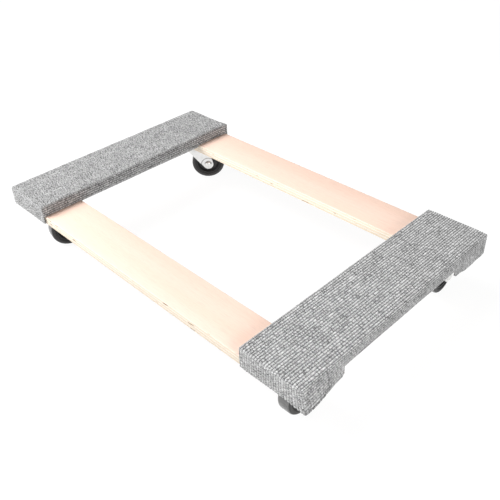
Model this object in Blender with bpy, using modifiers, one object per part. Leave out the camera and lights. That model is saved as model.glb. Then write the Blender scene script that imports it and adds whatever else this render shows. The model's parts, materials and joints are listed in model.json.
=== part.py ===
"""Furniture dolly: two plywood rails under two carpeted cross boards, on four swivel casters.

Metres, +Z up. The dolly stands on z = 0. +X runs along the rails towards the front end and +Y
runs across them to the left. The origin is on the floor under the middle of the dolly's box.
"""

import math

import bmesh
import bpy

# Deck, over the carpet
DECK_LENGTH = 0.768
DECK_WIDTH = 0.474
PAD_WIDTH = 0.1192
CARPET_THICKNESS = 0.0045
CARPET_EDGE_RADIUS = 0.006

# Plywood
BOARD_THICKNESS = 0.0175
RAIL_THICKNESS = 0.0175
RAIL_WIDTH = 0.080

# How far the kingpins stand in from the middle of the cross boards, towards each other
KINGPIN_INWARD = 0.0025

# How far a kingpin stands aside from the middle of its rail, towards +Y
KINGPIN_ASIDE = {"front_left": -0.0090}

# Caster: the plate and the swivel
PLATE_LENGTH = 0.092
PLATE_WIDTH = 0.060
PLATE_THICKNESS = 0.0025
PLATE_CORNER_RADIUS = 0.006
SCREW_SPACING_X = 0.0730
SCREW_SPACING_Y = 0.0445
SLOT_LENGTH = 0.0110
KINGPIN_RADIUS = 0.0052
KINGPIN_FLANGE_RADIUS = 0.0085
KINGPIN_FLANGE_THICKNESS = 0.0010
KINGPIN_HEAD_RADIUS = 0.0090
KINGPIN_HEAD_HEIGHT = 0.0030
RACE_INNER_RADIUS = 0.0120
RACE_OUTER_RADIUS = 0.0180
RACE_HEIGHT = 0.0036
LIP_THICKNESS = 0.0025
LIP_DEPTH = 0.0030

# Caster: the fork
FORK_SHEET = 0.0025
FORK_BEND_RADIUS = 0.0050
FORK_FOOT_RADIUS = 0.0116
FORK_CROWN_BACK = 0.0310
FORK_CROWN_FRONT = 0.0234
SWIVEL_OFFSET = 0.0229

# Caster: the wheel and its axle, and the room between the wheel and the kingpin's head
WHEEL_HEADROOM = 0.0073
WHEEL_RADIUS = 0.0376
TREAD_WIDTH = 0.0240
TREAD_SHOULDER = 0.0030
TYRE_DEPTH = 0.0086
RIM_WIDTH = 0.0210
RIM_DEPTH = 0.0040
WEB_THICKNESS = 0.0090
HUB_WIDTH = 0.0340
HUB_RADIUS = 0.0105
AXLE_RADIUS = 0.0039
SLEEVE_WALL = 0.0014
AXLE_HEAD_RADIUS = 0.0074
AXLE_HEAD_HEIGHT = 0.0042
NUT_WIDTH = 0.0130
NUT_HEIGHT = 0.0055
THREAD_BEYOND_NUT = 0.0020

# Screws, which go up through the plate and the rail into the cross board
SCREW_RADIUS = 0.0026
SCREW_BITE = 0.0120
SCREW_POINT = 0.0040
SCREW_HEAD_WIDTH = 0.0095
SCREW_HEAD_HEIGHT = 0.0035
SCREW_WASHER_RADIUS = 0.0062
SCREW_WASHER_THICKNESS = 0.0010

# Clearances
TOUCH = 0.0003
RUNNING = 0.0003

# Round pieces
WHEEL_STEPS = 32
PIN_STEPS = 16
SCREW_STEPS = 10
SLOT_STEPS = 4
FOOT_STEPS = 12
CORNER_STEPS = 2
MERGE = 0.00005

# The way that each caster's wheel trails from its kingpin, in degrees from +X
SWIVEL_DEGREES = {
    "front_left": 94.0,
    "front_right": 90.2,
    "rear_left": 48.7,
    "rear_right": 78.3,
}

# Heights above the floor, from the wheels up
CROWN_BOTTOM = 2 * WHEEL_RADIUS + WHEEL_HEADROOM + KINGPIN_HEAD_HEIGHT + RUNNING
CROWN_TOP = CROWN_BOTTOM + FORK_SHEET
PLATE_BOTTOM = CROWN_TOP + RACE_HEIGHT + 2 * RUNNING
CASTER_HEIGHT = PLATE_BOTTOM + PLATE_THICKNESS
RAIL_BOTTOM = CASTER_HEIGHT + TOUCH
RAIL_TOP = RAIL_BOTTOM + RAIL_THICKNESS
BOARD_BOTTOM = RAIL_TOP + TOUCH
BOARD_TOP = BOARD_BOTTOM + BOARD_THICKNESS
DECK_TOP = BOARD_TOP + TOUCH + CARPET_THICKNESS

# Plan sizes that follow from the deck
CARPET_COVER = CARPET_THICKNESS + TOUCH
BOARD_WIDTH = PAD_WIDTH - 2 * CARPET_COVER
BOARD_LENGTH = DECK_WIDTH - 2 * CARPET_COVER
RAIL_LENGTH = DECK_LENGTH - 2 * CARPET_COVER
PAD_CENTRE_X = (DECK_LENGTH - PAD_WIDTH) / 2
RAIL_CENTRE_Y = (BOARD_LENGTH - RAIL_WIDTH) / 2
RAIL_GAP = 2 * RAIL_CENTRE_Y - RAIL_WIDTH

# Across the wheel
SLEEVE_RADIUS = AXLE_RADIUS + RUNNING + SLEEVE_WALL
RIM_RADIUS = WHEEL_RADIUS - TYRE_DEPTH
FORK_INSIDE = HUB_WIDTH / 2 + RUNNING
FORK_OUTSIDE = FORK_INSIDE + FORK_SHEET
SLOT_RADIUS = SCREW_RADIUS + RUNNING


def clear_scene():
    for old in list(bpy.data.objects):
        bpy.data.objects.remove(old, do_unlink=True)


def make_collection(name):
    collection = bpy.data.collections.new(name)
    bpy.context.scene.collection.children.link(collection)
    return collection


def make_material(name, colour, roughness, metallic=0.0):
    material = bpy.data.materials.new(name)
    material.use_nodes = True
    shader = material.node_tree.nodes["Principled BSDF"]
    shader.inputs["Base Color"].default_value = (*colour, 1.0)
    shader.inputs["Roughness"].default_value = roughness
    shader.inputs["Metallic"].default_value = metallic
    return material


def add_object(name, data, collection, parent=None):
    piece = bpy.data.objects.new(name, data)
    collection.objects.link(piece)
    piece.parent = parent
    return piece


def add_empty(name, location, parent=None, turn=0.0):
    """A guide at a joint's axis, or where a group of pieces is placed."""
    guide = add_object(name, None, PARTS, parent)
    guide.location = location
    guide.rotation_euler.z = turn
    guide.empty_display_size = 0.02
    return guide


def finish_mesh(name, piece):
    """The piece's mesh with its modifiers applied. The piece itself is removed."""
    bpy.context.view_layer.update()
    graph = bpy.context.evaluated_depsgraph_get()
    mesh = bpy.data.meshes.new_from_object(piece.evaluated_get(graph))
    mesh.name = name
    form = bmesh.new()
    form.from_mesh(mesh)
    bmesh.ops.remove_doubles(form, verts=form.verts, dist=MERGE / 10)
    form.to_mesh(mesh)
    form.free()
    bpy.data.objects.remove(piece, do_unlink=True)
    return mesh


def box(name, low, high, collection):
    """A block between two corners."""
    size = [b - a for a, b in zip(low, high)]
    middle = [(a + b) / 2 for a, b in zip(low, high)]
    form = bmesh.new()
    bmesh.ops.create_cube(form, size=1.0)
    bmesh.ops.scale(form, vec=size, verts=form.verts)
    bmesh.ops.translate(form, vec=middle, verts=form.verts)
    mesh = bpy.data.meshes.new(name)
    form.to_mesh(mesh)
    form.free()
    return add_object(name, mesh, collection)


def cylinder(name, radius, low, high, collection, place=(0.0, 0.0), steps=PIN_STEPS):
    """An upright cylinder between two heights."""
    form = bmesh.new()
    bmesh.ops.create_cone(
        form, cap_ends=True, segments=steps, radius1=radius, radius2=radius, depth=high - low
    )
    bmesh.ops.translate(form, vec=(*place, (low + high) / 2), verts=form.verts)
    mesh = bpy.data.meshes.new(name)
    form.to_mesh(mesh)
    form.free()
    return add_object(name, mesh, collection)


def prism(name, outline, low, high, collection):
    """A flat outline in X and Y, from one height to another."""
    curve = bpy.data.curves.new(name, "CURVE")
    curve.dimensions = "2D"
    curve.fill_mode = "BOTH"
    curve.extrude = (high - low) / 2
    line = curve.splines.new("POLY")
    line.points.add(len(outline) - 1)
    for point, (x, y) in zip(line.points, outline):
        point.co = (x, y, 0.0, 1.0)
    line.use_cyclic_u = True
    mesh = finish_mesh(name, add_object(name, curve, CUTTERS))
    for vertex in mesh.vertices:
        vertex.co.z += (low + high) / 2
    return add_object(name, mesh, collection)


def turned(name, profile, collection, steps, closed=True):
    """A profile of (radius, height) points turned about Z. An open profile ends on the axis."""
    mesh = bpy.data.meshes.new(name)
    edges = [(i, i + 1) for i in range(len(profile) - 1)]
    if closed:
        edges.append((len(profile) - 1, 0))
    mesh.from_pydata([(r, 0.0, z) for r, z in profile], edges, [])
    piece = add_object(name, mesh, collection)
    screw = piece.modifiers.new("turn", "SCREW")
    screw.steps = steps
    screw.render_steps = steps
    screw.use_merge_vertices = True
    screw.merge_threshold = MERGE
    return piece


def combine(piece, other, operation):
    """Cuts, joins or trims a piece with another, which is then put away with the cutters."""
    boolean = piece.modifiers.new(other.name, "BOOLEAN")
    boolean.operation = operation
    boolean.object = other
    boolean.solver = "EXACT"
    other.hide_render = True
    other.display_type = "WIRE"


def shade(mesh, degrees=35.0):
    mesh.shade_smooth()
    mesh.set_sharp_from_angle(angle=math.radians(degrees))


def place(name, mesh, parent, material, location=(0, 0, 0), rotation=(0, 0, 0)):
    """One named sub-part, with its own material."""
    piece = add_object(name, mesh, PARTS, parent)
    piece.location = location
    piece.rotation_euler = rotation
    slot = material.copy()
    slot.name = name
    if not mesh.materials:
        mesh.materials.append(slot)
    piece.material_slots[0].link = "OBJECT"
    piece.material_slots[0].material = slot
    return piece


def arc(centre, radius, start, end, steps):
    """Points along an arc, from one angle in degrees to another."""
    points = []
    for i in range(steps + 1):
        angle = math.radians(start + (end - start) * i / steps)
        points.append((centre[0] + radius * math.cos(angle), centre[1] + radius * math.sin(angle)))
    return points


def rounded_rectangle(length, width, radius):
    corners = [(1, 1, 0), (-1, 1, 90), (-1, -1, 180), (1, -1, 270)]
    points = []
    for along, across, start in corners:
        middle = (along * (length / 2 - radius), across * (width / 2 - radius))
        points += arc(middle, radius, start, start + 90, CORNER_STEPS)
    return points


def screw_places():
    """Where a caster's four screws stand, from its kingpin."""
    places = []
    for along in (1, -1):
        for across in (1, -1):
            places.append((along * SCREW_SPACING_X / 2, across * SCREW_SPACING_Y / 2))
    return places


def kingpin_place(caster):
    """A kingpin stands under the overlap of a rail and a cross board."""
    along = 1 if caster.startswith("front") else -1
    across = 1 if caster.endswith("left") else -1
    aside = KINGPIN_ASIDE.get(caster, 0.0)
    return along * (PAD_CENTRE_X - KINGPIN_INWARD), across * RAIL_CENTRE_Y + aside


def wheel_reach_y(caster, side):
    """How far a caster's wheel reaches towards +Y or -Y, from the deck's centre line."""
    turn = math.radians(SWIVEL_DEGREES[caster])
    middle = kingpin_place(caster)[1] + SWIVEL_OFFSET * math.sin(turn)
    half = WHEEL_RADIUS * abs(math.sin(turn)) + TREAD_WIDTH / 2 * abs(math.cos(turn))
    return side * middle + half


def deck_shift_y():
    """Moves the deck so that the middle of the dolly's box is over the origin."""
    left = max([DECK_WIDTH / 2] + [wheel_reach_y(caster, 1) for caster in SWIVEL_DEGREES])
    right = max([DECK_WIDTH / 2] + [wheel_reach_y(caster, -1) for caster in SWIVEL_DEGREES])
    return (right - left) / 2


# Deck


def drill_for_screws(piece, centre, places, low, high):
    """Pilot holes for the screws, between two heights."""
    for number, (x, y) in enumerate(places):
        name = f"{piece.name}_hole_{number}"
        spot = (x - centre[0], y - centre[1])
        hole = cylinder(name, SCREW_RADIUS + TOUCH, low, high, CUTTERS, spot, SCREW_STEPS)
        combine(piece, hole, "DIFFERENCE")


def screws_under(test):
    """The deck places of the screws of the casters that pass a test of their name."""
    places = []
    for caster in SWIVEL_DEGREES:
        if test(caster):
            x, y = kingpin_place(caster)
            places += [(x + dx, y + dy) for dx, dy in screw_places()]
    return places


def make_rails(deck, material):
    for side, across in (("left", 1), ("right", -1)):
        centre = (0.0, across * RAIL_CENTRE_Y)
        low = (-RAIL_LENGTH / 2, -RAIL_WIDTH / 2, RAIL_BOTTOM)
        high = (RAIL_LENGTH / 2, RAIL_WIDTH / 2, RAIL_TOP)
        blank = box(f"rail_{side}_blank", low, high, CUTTERS)
        places = screws_under(lambda caster: caster.endswith(side))
        drill_for_screws(blank, centre, places, RAIL_BOTTOM - 0.01, RAIL_TOP + 0.01)
        mesh = finish_mesh(f"rail_{side}", blank)
        place(f"rail_{side}", mesh, deck, material, (*centre, 0.0))


def make_cross_boards(deck, material):
    for end, along in (("front", 1), ("rear", -1)):
        centre = (along * PAD_CENTRE_X, 0.0)
        low = (-BOARD_WIDTH / 2, -BOARD_LENGTH / 2, BOARD_BOTTOM)
        high = (BOARD_WIDTH / 2, BOARD_LENGTH / 2, BOARD_TOP)
        blank = box(f"cross_board_{end}_blank", low, high, CUTTERS)
        places = screws_under(lambda caster: caster.startswith(end))
        top_of_hole = BOARD_BOTTOM + SCREW_BITE + TOUCH
        drill_for_screws(blank, centre, places, BOARD_BOTTOM - 0.01, top_of_hole)
        mesh = finish_mesh(f"cross_board_{end}", blank)
        place(f"cross_board_{end}", mesh, deck, material, (*centre, 0.0))


def make_carpets(deck, material):
    """Carpet wrapped over each cross board.

    It covers the top and both long faces, and its ends hang over the rails' outer sides. Its
    outer face hangs over the rails' ends too, but is cut shorter between the rails.
    """
    half_x = PAD_WIDTH / 2
    half_y = DECK_WIDTH / 2
    inside_x = BOARD_WIDTH / 2 + TOUCH
    inside_y = BOARD_LENGTH / 2 + TOUCH
    far = 0.05
    wrap = box("carpet_blank", (-half_x, -half_y, RAIL_BOTTOM), (half_x, half_y, DECK_TOP), CUTTERS)
    soften = wrap.modifiers.new("soften", "BEVEL")
    soften.width = CARPET_EDGE_RADIUS
    soften.segments = 3
    soften.limit_method = "WEIGHT"
    weights = wrap.data.attributes.new("bevel_weight_edge", "FLOAT", "EDGE")
    for edge in wrap.data.edges:
        ends = [wrap.data.vertices[i].co.z for i in edge.vertices]
        weights.data[edge.index].value = 1.0 if min(ends) > RAIL_TOP or ends[0] != ends[1] else 0.0
    board_room = box(
        "carpet_board_room",
        (-inside_x, -inside_y, RAIL_BOTTOM - far),
        (inside_x, inside_y, BOARD_TOP + TOUCH),
        CUTTERS,
    )
    rail_room = box(
        "carpet_rail_room",
        (-half_x - far, -inside_y, RAIL_BOTTOM - far),
        (0.0, inside_y, RAIL_TOP + TOUCH),
        CUTTERS,
    )
    half_gap = RAIL_GAP / 2
    short_face = box(
        "carpet_short_face",
        (0.0, -half_gap, RAIL_BOTTOM - far),
        (half_x + far, half_gap, BOARD_BOTTOM),
        CUTTERS,
    )
    for cutter in (board_room, rail_room, short_face):
        combine(wrap, cutter, "DIFFERENCE")
    mesh = finish_mesh("carpet", wrap)
    for end, along in (("front", 1), ("rear", -1)):
        turn = 0.0 if along > 0 else math.pi
        place(f"carpet_{end}", mesh, deck, material, (along * PAD_CENTRE_X, 0, 0), (0, 0, turn))


# Casters


def mount_plate_mesh():
    """A pressed plate with four slots, and a lip that shrouds the ball ring."""
    outline = rounded_rectangle(PLATE_LENGTH, PLATE_WIDTH, PLATE_CORNER_RADIUS)
    plate = prism("plate_blank", outline, PLATE_BOTTOM, CASTER_HEIGHT, CUTTERS)
    lip_inside = RACE_OUTER_RADIUS + 2 * RUNNING
    lip_outside = lip_inside + LIP_THICKNESS
    overlap = PLATE_BOTTOM + PLATE_THICKNESS / 2
    ring = [
        (lip_outside, overlap),
        (lip_outside, PLATE_BOTTOM - LIP_DEPTH),
        (lip_inside, PLATE_BOTTOM - LIP_DEPTH),
        (lip_inside, overlap),
    ]
    combine(plate, turned("plate_lip", ring, CUTTERS, PIN_STEPS), "UNION")
    for number, (x, y) in enumerate(screw_places()):
        slot = [(x + a, y + b) for a, b in slot_outline(SLOT_LENGTH, SLOT_RADIUS)]
        cut = prism(f"plate_slot_{number}", slot, PLATE_BOTTOM - 0.01, CASTER_HEIGHT + 0.01, CUTTERS)
        combine(plate, cut, "DIFFERENCE")
    bore = KINGPIN_RADIUS + TOUCH
    seat = KINGPIN_FLANGE_RADIUS + TOUCH
    seat_floor = CASTER_HEIGHT - KINGPIN_FLANGE_THICKNESS - TOUCH
    above = CASTER_HEIGHT + 0.01
    below = PLATE_BOTTOM - 0.01
    profile = [(0, above), (seat, above), (seat, seat_floor), (bore, seat_floor), (bore, below), (0, below)]
    pin_room = turned("plate_pin_room", profile, CUTTERS, PIN_STEPS, closed=False)
    combine(plate, pin_room, "DIFFERENCE")
    return finish_mesh("mount_plate", plate)


def slot_outline(length, radius):
    """A slot with round ends, along X."""
    reach = length / 2 - radius
    right = arc((reach, 0), radius, -90, 90, SLOT_STEPS)
    left = arc((-reach, 0), radius, 90, 270, SLOT_STEPS)
    return right + left


def kingpin_mesh():
    top = CASTER_HEIGHT
    flange_bottom = top - KINGPIN_FLANGE_THICKNESS
    head_top = CROWN_BOTTOM - RUNNING
    head_bottom = head_top - KINGPIN_HEAD_HEIGHT
    dome = KINGPIN_HEAD_HEIGHT / 3
    profile = [
        (0, top),
        (KINGPIN_FLANGE_RADIUS, top),
        (KINGPIN_FLANGE_RADIUS, flange_bottom),
        (KINGPIN_RADIUS, flange_bottom),
        (KINGPIN_RADIUS, head_top),
        (KINGPIN_HEAD_RADIUS, head_top),
        (KINGPIN_HEAD_RADIUS, head_bottom + dome),
        (KINGPIN_HEAD_RADIUS - dome, head_bottom),
        (0, head_bottom),
    ]
    return finish_mesh("kingpin", turned("kingpin_blank", profile, CUTTERS, PIN_STEPS, closed=False))


def ball_ring_mesh():
    """The caged balls between the plate and the fork's crown, as one ring of their outer shape."""
    top = PLATE_BOTTOM - RUNNING
    bottom = top - RACE_HEIGHT
    middle = (RACE_INNER_RADIUS + RACE_OUTER_RADIUS) / 2
    half = (RACE_OUTER_RADIUS - RACE_INNER_RADIUS) / 2
    crest = half / 3
    profile = [
        (middle - crest, top),
        (middle + crest, top),
        (RACE_OUTER_RADIUS, top - RACE_HEIGHT / 3),
        (RACE_OUTER_RADIUS, bottom + RACE_HEIGHT / 3),
        (middle + crest, bottom),
        (middle - crest, bottom),
        (RACE_INNER_RADIUS, bottom + RACE_HEIGHT / 3),
        (RACE_INNER_RADIUS, top - RACE_HEIGHT / 3),
    ]
    return finish_mesh("ball_ring", turned("ball_ring_blank", profile, CUTTERS, PIN_STEPS))


def tangent_angle(point, centre, radius, side):
    """The angle in degrees where a line from a point touches a circle."""
    dx = point[0] - centre[0]
    dz = point[1] - centre[1]
    swing = math.acos(radius / math.hypot(dx, dz))
    return math.degrees(math.atan2(dz, dx) + side * swing)


def fork_mesh():
    """A strip of sheet bent into a crown and two legs, and trimmed to its side outline.

    The wheel's axle is SWIVEL_OFFSET along +X from the kingpin.
    """
    length = 0.05
    half = FORK_OUTSIDE
    bottom = WHEEL_RADIUS - 2 * FORK_FOOT_RADIUS
    form = bmesh.new()
    section = [(half, bottom), (half, CROWN_TOP), (-half, CROWN_TOP), (-half, bottom)]
    rows = []
    for x in (-length, length):
        rows.append([form.verts.new((x, y, z)) for y, z in section])
    for i in range(3):
        form.faces.new((rows[0][i], rows[1][i], rows[1][i + 1], rows[0][i + 1]))
    bmesh.ops.recalc_face_normals(form, faces=form.faces)
    if max(form.faces, key=lambda face: face.calc_center_median().z).normal.z < 0:
        bmesh.ops.reverse_faces(form, faces=form.faces)
    mesh = bpy.data.meshes.new("fork_strip")
    form.to_mesh(mesh)
    form.free()
    strip = add_object("fork_strip", mesh, CUTTERS)
    bend = strip.modifiers.new("bend", "BEVEL")
    bend.width = FORK_BEND_RADIUS
    bend.segments = 3
    bend.limit_method = "ANGLE"
    sheet = strip.modifiers.new("sheet", "SOLIDIFY")
    sheet.thickness = FORK_SHEET
    sheet.offset = -1.0
    sheet.use_even_offset = True
    combine(strip, fork_outline(), "INTERSECT")
    below = CROWN_BOTTOM - 0.01
    above = CROWN_TOP + 0.01
    pin_hole = cylinder("fork_pin_hole", KINGPIN_RADIUS + RUNNING, below, above, CUTTERS)
    combine(strip, pin_hole, "DIFFERENCE")
    axle_hole = cylinder("fork_axle_hole", AXLE_RADIUS + TOUCH, -0.05, 0.05, CUTTERS)
    axle_hole.location = (SWIVEL_OFFSET, 0, WHEEL_RADIUS)
    axle_hole.rotation_euler.x = math.pi / 2
    combine(strip, axle_hole, "DIFFERENCE")
    return finish_mesh("fork", strip)


def fork_outline():
    """The fork seen from the side: wide at the crown, and round about the axle."""
    top = CROWN_TOP + 0.01
    axle = (SWIVEL_OFFSET, WHEEL_RADIUS)
    back = (-FORK_CROWN_BACK, CROWN_TOP)
    front = (FORK_CROWN_FRONT, CROWN_TOP)
    start = tangent_angle(back, axle, FORK_FOOT_RADIUS, 1)
    end = tangent_angle(front, axle, FORK_FOOT_RADIUS, -1)
    foot = arc(axle, FORK_FOOT_RADIUS, start, end + 360 if end < start else end, FOOT_STEPS)
    outline = [(-FORK_CROWN_BACK, top), back] + foot + [front, (FORK_CROWN_FRONT, top)]
    side = prism("fork_outline", outline, -0.04, 0.04, CUTTERS)
    side.rotation_euler.x = math.pi / 2
    return side


def wheel_core_mesh():
    """Hub, web and rim, turned about the axle, with the origin at the wheel's centre."""
    bore = SLEEVE_RADIUS + RUNNING
    hub = HUB_WIDTH / 2
    web = WEB_THICKNESS / 2
    rim = RIM_WIDTH / 2
    rim_inside = RIM_RADIUS - RIM_DEPTH
    draft = 0.0015
    upper = [
        (bore, hub),
        (HUB_RADIUS - draft, hub),
        (HUB_RADIUS, web),
        (rim_inside, web),
        (rim_inside + draft, rim),
        (RIM_RADIUS, rim),
    ]
    lower = [(r, -z) for r, z in reversed(upper)]
    return finish_mesh("wheel_core", turned("wheel_core_blank", upper + lower, CUTTERS, WHEEL_STEPS))


def tyre_mesh():
    inside = RIM_RADIUS + TOUCH
    half = TREAD_WIDTH / 2
    shoulder = arc((WHEEL_RADIUS - TREAD_SHOULDER, half - TREAD_SHOULDER), TREAD_SHOULDER, 90, 0, 2)
    upper = [(inside, half)] + shoulder
    lower = [(r, -z) for r, z in reversed(upper)]
    return finish_mesh("tyre", turned("tyre_blank", upper + lower, CUTTERS, WHEEL_STEPS))


def axle_sleeve_mesh():
    half = FORK_INSIDE - TOUCH
    inside = AXLE_RADIUS + TOUCH
    profile = [(SLEEVE_RADIUS, half), (SLEEVE_RADIUS, -half), (inside, -half), (inside, half)]
    return finish_mesh("axle_sleeve", turned("axle_sleeve_blank", profile, CUTTERS, PIN_STEPS))


def axle_bolt_mesh():
    """A round-headed bolt, its head towards +Z of its own frame."""
    seat = FORK_OUTSIDE + TOUCH
    dome = AXLE_HEAD_HEIGHT / 4
    end = -(FORK_OUTSIDE + 2 * TOUCH + NUT_HEIGHT + THREAD_BEYOND_NUT)
    profile = [
        (0, seat + AXLE_HEAD_HEIGHT),
        (AXLE_HEAD_RADIUS - dome, seat + AXLE_HEAD_HEIGHT),
        (AXLE_HEAD_RADIUS, seat + AXLE_HEAD_HEIGHT - dome),
        (AXLE_HEAD_RADIUS, seat),
        (AXLE_RADIUS, seat),
        (AXLE_RADIUS, end),
        (0, end),
    ]
    return finish_mesh("axle_bolt", turned("axle_bolt_blank", profile, CUTTERS, PIN_STEPS, closed=False))


def hexagon(width):
    return arc((0, 0), width / 2 / math.cos(math.radians(30)), 0, 300, 5)


def axle_nut_mesh():
    low = -(FORK_OUTSIDE + TOUCH + NUT_HEIGHT)
    nut = prism("axle_nut_blank", hexagon(NUT_WIDTH), low, low + NUT_HEIGHT, CUTTERS)
    thread = cylinder("axle_nut_thread", AXLE_RADIUS + TOUCH, low - 0.01, low + NUT_HEIGHT + 0.01, CUTTERS)
    combine(nut, thread, "DIFFERENCE")
    return finish_mesh("axle_nut", nut)


def plate_screw_mesh():
    """A hex washer head screw that points up, with its washer just under the plate."""
    seat = PLATE_BOTTOM - TOUCH
    washer_bottom = seat - SCREW_WASHER_THICKNESS
    tip = BOARD_BOTTOM + SCREW_BITE
    profile = [
        (0, tip),
        (SCREW_RADIUS, tip - SCREW_POINT),
        (SCREW_RADIUS, seat),
        (SCREW_WASHER_RADIUS, seat),
        (SCREW_WASHER_RADIUS, washer_bottom),
        (0, washer_bottom),
    ]
    screw = turned("screw_blank", profile, CUTTERS, SCREW_STEPS, closed=False)
    head_top = washer_bottom + SCREW_WASHER_THICKNESS / 2
    head_bottom = washer_bottom - SCREW_HEAD_HEIGHT
    head = prism("screw_head", hexagon(SCREW_HEAD_WIDTH), head_bottom, head_top, CUTTERS)
    combine(screw, head, "UNION")
    return finish_mesh("plate_screw", screw)


def make_casters(deck, steel, bright, plastic, rubber):
    along_axle = (math.pi / 2, 0, 0)
    fixed = {
        "mount_plate": (mount_plate_mesh(), steel),
        "kingpin": (kingpin_mesh(), bright),
        "ball_ring": (ball_ring_mesh(), bright),
    }
    on_axle = {
        "axle_sleeve": (axle_sleeve_mesh(), bright),
        "axle_bolt": (axle_bolt_mesh(), bright),
        "axle_nut": (axle_nut_mesh(), bright),
    }
    on_wheel = {
        "wheel_core": (wheel_core_mesh(), plastic),
        "tyre": (tyre_mesh(), rubber),
    }
    fork = fork_mesh()
    screw = plate_screw_mesh()
    for mesh, _ in [*fixed.values(), *on_axle.values(), *on_wheel.values(), (fork, None)]:
        shade(mesh)
    for caster, degrees in SWIVEL_DEGREES.items():
        spot = (*kingpin_place(caster), 0.0)
        mount = add_empty(f"{caster}_mount", spot, deck)
        swivel = add_empty(f"{caster}_swivel_axis", spot, deck, math.radians(degrees))
        axle = add_empty(f"{caster}_wheel_axis", (SWIVEL_OFFSET, 0, WHEEL_RADIUS), swivel)
        for name, (mesh, material) in fixed.items():
            place(f"{caster}_{name}", mesh, mount, material)
        for number, (x, y) in enumerate(screw_places(), 1):
            place(f"{caster}_plate_screw_{number}", screw, mount, bright, (x, y, 0))
        place(f"{caster}_fork", fork, swivel, steel)
        for name, (mesh, material) in {**on_axle, **on_wheel}.items():
            place(f"{caster}_{name}", mesh, axle, material, rotation=along_axle)


def put_cutters_away():
    for cutter in CUTTERS.objects:
        cutter.hide_render = True
        cutter.display_type = "WIRE"
    CUTTERS.hide_render = True


clear_scene()
PARTS = make_collection("furniture_dolly")
CUTTERS = make_collection("cutters")

plywood = make_material("plywood", (0.86, 0.72, 0.56), 0.6)
carpet = make_material("carpet", (0.42, 0.42, 0.43), 0.95)
zinc_sheet = make_material("zinc_sheet", (0.80, 0.81, 0.82), 0.35, 1.0)
zinc_bright = make_material("zinc_bright", (0.83, 0.83, 0.82), 0.25, 1.0)
core_plastic = make_material("core_plastic", (0.02, 0.02, 0.02), 0.45)
tyre_rubber = make_material("tyre_rubber", (0.03, 0.03, 0.03), 0.7)

dolly = add_empty("dolly", (0.0, deck_shift_y(), 0.0))
make_rails(dolly, plywood)
make_cross_boards(dolly, plywood)
make_carpets(dolly, carpet)
make_casters(dolly, zinc_sheet, zinc_bright, core_plastic, tyre_rubber)
put_cutters_away()
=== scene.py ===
"""Looks of the furniture dolly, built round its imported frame.

Metres, +Z up, in the frame's own axes: +X runs along the rails to the front pad and +Y across
them to the left. Each caster is made once, in a frame of its own: its kingpin stands on the
origin's Z axis and its wheel trails along +X. Copies are then turned to where the joints say.
"""

import json
import math

import bmesh
import bpy
import numpy as np
from mathutils import Matrix, Vector, noise


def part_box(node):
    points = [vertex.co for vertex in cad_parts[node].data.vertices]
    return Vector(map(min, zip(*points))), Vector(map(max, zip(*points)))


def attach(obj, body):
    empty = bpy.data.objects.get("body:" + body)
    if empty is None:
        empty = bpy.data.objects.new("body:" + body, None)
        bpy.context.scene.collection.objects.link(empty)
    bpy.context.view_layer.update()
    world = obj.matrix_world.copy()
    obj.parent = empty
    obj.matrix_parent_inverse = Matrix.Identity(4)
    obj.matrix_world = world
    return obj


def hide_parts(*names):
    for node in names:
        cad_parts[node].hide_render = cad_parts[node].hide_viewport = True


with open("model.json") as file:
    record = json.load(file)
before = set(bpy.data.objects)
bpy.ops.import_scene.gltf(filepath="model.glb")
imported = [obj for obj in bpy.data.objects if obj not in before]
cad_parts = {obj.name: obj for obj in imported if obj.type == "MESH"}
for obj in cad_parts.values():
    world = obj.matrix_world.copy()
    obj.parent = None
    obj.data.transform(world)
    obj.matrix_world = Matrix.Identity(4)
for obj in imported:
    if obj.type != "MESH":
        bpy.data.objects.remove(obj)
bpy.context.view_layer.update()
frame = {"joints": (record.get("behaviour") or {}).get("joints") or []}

# Places that the frame gives

CASTERS = ("front_left", "front_right", "rear_left", "rear_right")
JOINTS = {joint["name"]: joint for joint in frame["joints"]}
PAD_LOW, PAD_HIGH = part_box("carpet_front")
RAIL_LOW, RAIL_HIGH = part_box("rail_left")
PLATE_LOW, PLATE_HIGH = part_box("front_left_mount_plate")
RING_LOW, RING_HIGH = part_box("front_left_ball_ring")
FORK_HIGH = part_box("front_left_fork")[1]
PIN_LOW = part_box("front_left_kingpin")[0]
SCREW_LOW, SCREW_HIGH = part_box("front_left_plate_screw_1")

DECK_Y = (PAD_LOW.y + PAD_HIGH.y) / 2
DECK_TOP = PAD_HIGH.z
PAD_X = (PAD_LOW.x + PAD_HIGH.x) / 2
PAD_HALF_X = (PAD_HIGH.x - PAD_LOW.x) / 2
PAD_HALF_Y = (PAD_HIGH.y - PAD_LOW.y) / 2
RAIL_INSIDE = RAIL_LOW.y - DECK_Y


def swivel_of(caster):
    """The kingpin's place, and the angle that the wheel trails at."""
    pin = Vector(JOINTS[f"{caster}_swivel_turn"]["pos_m"])
    wheel = Vector(JOINTS[f"{caster}_wheel_roll"]["pos_m"])
    trail = wheel - pin
    return pin, math.atan2(trail.y, trail.x)


PIN_PLACE = Vector(JOINTS["front_left_swivel_turn"]["pos_m"])
WHEEL_PLACE = Vector(JOINTS["front_left_wheel_roll"]["pos_m"])
WHEEL_RADIUS = WHEEL_PLACE.z
SWIVEL_OFFSET = (WHEEL_PLACE - PIN_PLACE).to_2d().length
SCREW_HEAD = 0.0045
GAP = 0.0003
PLATE_BOTTOM = SCREW_LOW.z + SCREW_HEAD + GAP
PLATE_TOP = PLATE_HIGH.z
CROWN_TOP = FORK_HIGH.z

# Carpet. Seen from outside, its face runs down from the top, and depths count from there.

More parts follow.
